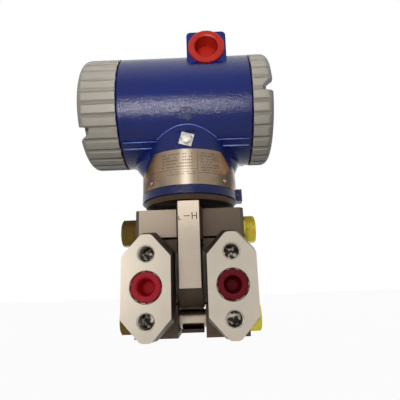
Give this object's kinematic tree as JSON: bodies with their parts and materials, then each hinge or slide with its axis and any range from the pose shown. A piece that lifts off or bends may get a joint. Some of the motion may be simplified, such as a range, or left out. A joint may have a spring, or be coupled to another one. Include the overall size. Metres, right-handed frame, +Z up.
{
  "type": "differential pressure transmitter",
  "caption": "Industrial differential pressure transmitter: two-chamber cast housing with fluted screw covers on a round neck, above a sensor clamped between two bolted process covers.",
  "frame": {"origin": "centre of the four tapped holes on the front plane of the process flanges", "axes": "+Z up along the neck, -Y out of the process flanges, X along the housing with the short cover at +X"},
  "size_m": [0.1425, 0.1038, 0.2215],
  "materials": {
    "housing_paint": "gloss orange-peel enamel",
    "cover_paint": "satin enamel",
    "stainless_machined": "fine machined",
    "stainless_cast": "satin cast",
    "zinc_yellow": "yellow passivated",
    "nameplate_steel": "brushed, etched",
    "bright_steel": "plated",
    "cap_orange": "semi gloss",
    "cap_red": "semi gloss",
    "seal_rubber": "matte",
    "gasket_white": "matte",
    "window_glass": "clear",
    "module_plastic": "matte",
    "display_plastic": "matte",
    "screen": "gloss",
    "button_plastic": "matte",
    "block_plastic": "matte",
    "brass": "plain"
  },
  "bodies": {
    "sensor": {"sensor_body": "stainless_machined", "process_cover_high": "stainless_cast", "process_cover_low": "stainless_cast", "cover_gasket_high": "gasket_white", "cover_gasket_low": "gasket_white", "diaphragm_high": "bright_steel", "diaphragm_low": "bright_steel", "neck_oring": "seal_rubber", "upper_bolt": "zinc_yellow", "lower_bolt": "zinc_yellow", "upper_nut": "zinc_yellow", "lower_nut": "zinc_yellow", "upper_head_washer": "zinc_yellow", "upper_nut_washer": "zinc_yellow", "lower_head_washer": "zinc_yellow", "lower_nut_washer": "zinc_yellow", "vent_plug_high": "bright_steel", "vent_plug_low": "bright_steel", "vent_screw_high": "bright_steel", "vent_screw_low": "bright_steel"},
    "topworks": {"housing_casting": "housing_paint", "nameplate": "nameplate_steel", "ground_washer": "bright_steel", "ground_screw": "bright_steel", "lock_screw": "bright_steel", "electronics_module": "module_plastic", "display_module": "display_plastic", "display_screen": "screen", "terminal_block": "block_plastic", "terminal_screw_1": "brass", "terminal_screw_2": "brass", "terminal_screw_3": "brass", "feed_through": "brass", "rear_conduit_plug": "bright_steel"},
    "display_cover_seal": {"display_cover_oring": "seal_rubber"},
    "display_cover": {"display_cover": "cover_paint", "window_gasket": "seal_rubber", "window_glass": "window_glass", "window_retainer": "bright_steel"},
    "terminal_cover_seal": {"terminal_cover_oring": "seal_rubber"},
    "terminal_cover": {"terminal_cover": "cover_paint"},
    "conduit_cap": {"conduit_cap": "cap_orange"},
    "port_cap_high": {"port_cap_high": "cap_red"},
    "port_cap_low": {"port_cap_low": "cap_red"},
    "button_left": {"display_button_left": "button_plastic"},
    "button_right": {"display_button_right": "button_plastic"}
  },
  "joints": [
    {"name": "housing_swivel", "type": "hinge", "parent": "sensor", "child": "topworks", "pos_m": [0, 0.047, 0.0624], "axis": [0, 0, 1], "range_deg": [-180, 180]},
    {"name": "display_cover_travel", "type": "slide", "parent": "topworks", "child": "display_cover_seal", "axis": [-1, 0, 0], "range_m": [0, 0.01205]},
    {"name": "display_cover_turn", "type": "hinge", "parent": "display_cover_seal", "child": "display_cover", "pos_m": [-0.0497, 0.047, 0.1389], "axis": [-1, 0, 0], "range_deg": [0, 2160]},
    {"name": "terminal_cover_travel", "type": "slide", "parent": "topworks", "child": "terminal_cover_seal", "axis": [1, 0, 0], "range_m": [0, 0.01205]},
    {"name": "terminal_cover_turn", "type": "hinge", "parent": "terminal_cover_seal", "child": "terminal_cover", "pos_m": [0.0484, 0.047, 0.1389], "axis": [1, 0, 0], "range_deg": [0, 2160]},
    {"name": "conduit_cap_pull", "type": "slide", "parent": "topworks", "child": "conduit_cap", "axis": [0, -1, 0], "range_m": [0, 0.016]},
    {"name": "port_cap_high_pull", "type": "slide", "parent": "sensor", "child": "port_cap_high", "axis": [0, -1, 0], "range_m": [0, 0.016]},
    {"name": "port_cap_low_pull", "type": "slide", "parent": "sensor", "child": "port_cap_low", "axis": [0, -1, 0], "range_m": [0, 0.016]},
    {"name": "button_left_press", "type": "slide", "parent": "topworks", "child": "button_left", "axis": [1, 0, 0], "range_m": [0, 0.001], "stiffness_N_per_m": 200, "springref_m": -0.001},
    {"name": "button_right_press", "type": "slide", "parent": "topworks", "child": "button_right", "axis": [1, 0, 0], "range_m": [0, 0.001], "stiffness_N_per_m": 200, "springref_m": -0.001}
  ],
  "couplings": [
    {"joint": "display_cover_travel", "follows": "display_cover_turn", "m_per_rad": 0.00031831},
    {"joint": "terminal_cover_travel", "follows": "terminal_cover_turn", "m_per_rad": 0.00031831}
  ]
}
